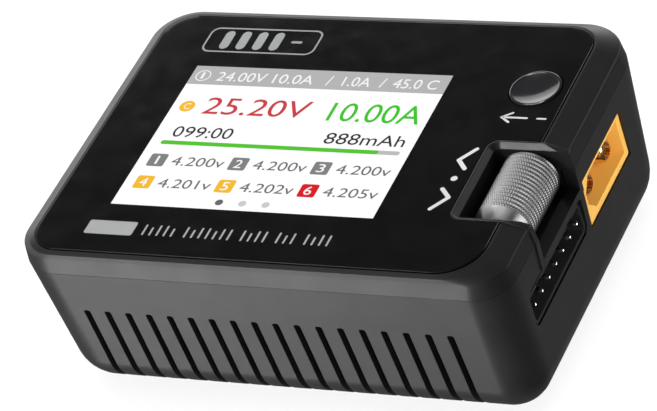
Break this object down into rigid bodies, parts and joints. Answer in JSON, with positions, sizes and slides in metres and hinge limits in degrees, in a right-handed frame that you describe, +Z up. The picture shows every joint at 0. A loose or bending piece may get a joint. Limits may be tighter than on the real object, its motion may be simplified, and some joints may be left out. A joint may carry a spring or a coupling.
{
  "type": "battery balance charger",
  "caption": "Compact bench and field charger for small battery packs: dark moulded case with colour screen, exit button, knurled roller, vents, power sockets and balance port.",
  "frame": {"origin": "Centre of the footprint, on the plane that the rubber feet stand on.", "axes": "+X towards the output end with the roller, +Y towards the rear wall, +Z up out of the screen."},
  "size_m": [0.0752, 0.056, 0.0292],
  "materials": {
    "case_black": "fine satin moulded",
    "panel_gloss": "polished, printed behind",
    "screen_glass": "lit display behind polished glass",
    "frame_steel": "folded sheet steel",
    "board_green": "solder mask over glass fibre laminate",
    "button_gloss": "polished, dished",
    "switch_black": "moulded",
    "roller_silver": "knurled with plain conical ends",
    "spindle_steel": "turned and folded",
    "connector_yellow": "moulded nylon",
    "contact_gold": "gold plated",
    "header_black": "moulded nylon",
    "pin_tin": "tinned",
    "sink_aluminium": "extruded",
    "ferrite_grey": "pressed ferrite",
    "foot_rubber": "soft, matt",
    "screw_black": "blackened",
    "ribbon_amber": "polyimide film"
  },
  "bodies": {
    "case": {"balance_header": "header_black", "balance_pin_1": "pin_tin", "balance_pin_2": "pin_tin", "balance_pin_3": "pin_tin", "balance_pin_4": "pin_tin", "balance_pin_5": "pin_tin", "balance_pin_6": "pin_tin", "balance_pin_7": "pin_tin", "board_link": "header_black", "buzzer": "switch_black", "capacitor_1": "sink_aluminium", "capacitor_2": "sink_aluminium", "capacitor_3": "sink_aluminium", "case_screw_1": "screw_black", "case_screw_2": "screw_black", "case_screw_3": "screw_black", "case_screw_4": "screw_black", "display_board": "board_green", "exit_switch_body": "switch_black", "fan_frame": "switch_black", "fan_lead": "header_black", "fan_plug": "header_black", "front_panel": "panel_gloss", "heat_sink": "sink_aluminium", "inductor": "ferrite_grey", "input_connector": "connector_yellow", "input_contact_negative": "contact_gold", "input_contact_positive": "contact_gold", "lower_housing": "case_black", "main_board": "board_green", "output_connector": "connector_yellow", "output_contact_negative": "contact_gold", "output_contact_positive": "contact_gold", "roller_encoder_body": "switch_black", "rubber_foot_1": "foot_rubber", "rubber_foot_2": "foot_rubber", "rubber_foot_3": "foot_rubber", "rubber_foot_4": "foot_rubber", "screen_frame": "frame_steel", "screen_glass": "screen_glass", "screen_ribbon": "ribbon_amber", "transistor_1": "switch_black", "transistor_2": "switch_black", "transistor_3": "switch_black", "transistor_4": "switch_black", "upper_housing": "case_black", "usb_shell": "frame_steel", "usb_tongue": "header_black"},
    "exit_key": {"exit_button": "button_gloss"},
    "exit_switch_key": {"exit_switch_plunger": "switch_black"},
    "roller_yoke": {"roller_carriage": "spindle_steel", "roller_axle": "spindle_steel"},
    "roller": {"roller_sleeve": "roller_silver", "roller_core": "switch_black"},
    "roller_switch_key": {"roller_switch_plunger": "switch_black"},
    "fan_wheel": {"fan_rotor": "switch_black"}
  },
  "joints": [
    {"name": "exit_press", "type": "slide", "parent": "case", "child": "exit_key", "axis": [0, 0, -1], "range_m": [0, 0.0004], "stiffness_N_per_m": 800, "springref_m": -0.0012},
    {"name": "exit_switch_press", "type": "slide", "parent": "case", "child": "exit_switch_key", "axis": [0, 0, -1], "range_m": [0, 0.0004]},
    {"name": "roller_press", "type": "slide", "parent": "case", "child": "roller_yoke", "axis": [-1, 0, 0], "range_m": [0, 0.0005], "stiffness_N_per_m": 900, "springref_m": -0.0015},
    {"name": "roller_switch_press", "type": "slide", "parent": "case", "child": "roller_switch_key", "axis": [-1, 0, 0], "range_m": [0, 0.0005]},
    {"name": "roller_spin", "type": "hinge", "parent": "roller_yoke", "child": "roller", "pos_m": [0.0318, -0.00785, 0.025], "axis": [0, 1, 0], "continuous": true},
    {"name": "fan_spin", "type": "hinge", "parent": "case", "child": "fan_wheel", "pos_m": [0, 0, 0.006], "axis": [0, 0, 1], "continuous": true}
  ],
  "couplings": [
    {"joint": "exit_switch_press", "follows": "exit_press", "ratio": 1},
    {"joint": "roller_switch_press", "follows": "roller_press", "ratio": 1}
  ]
}
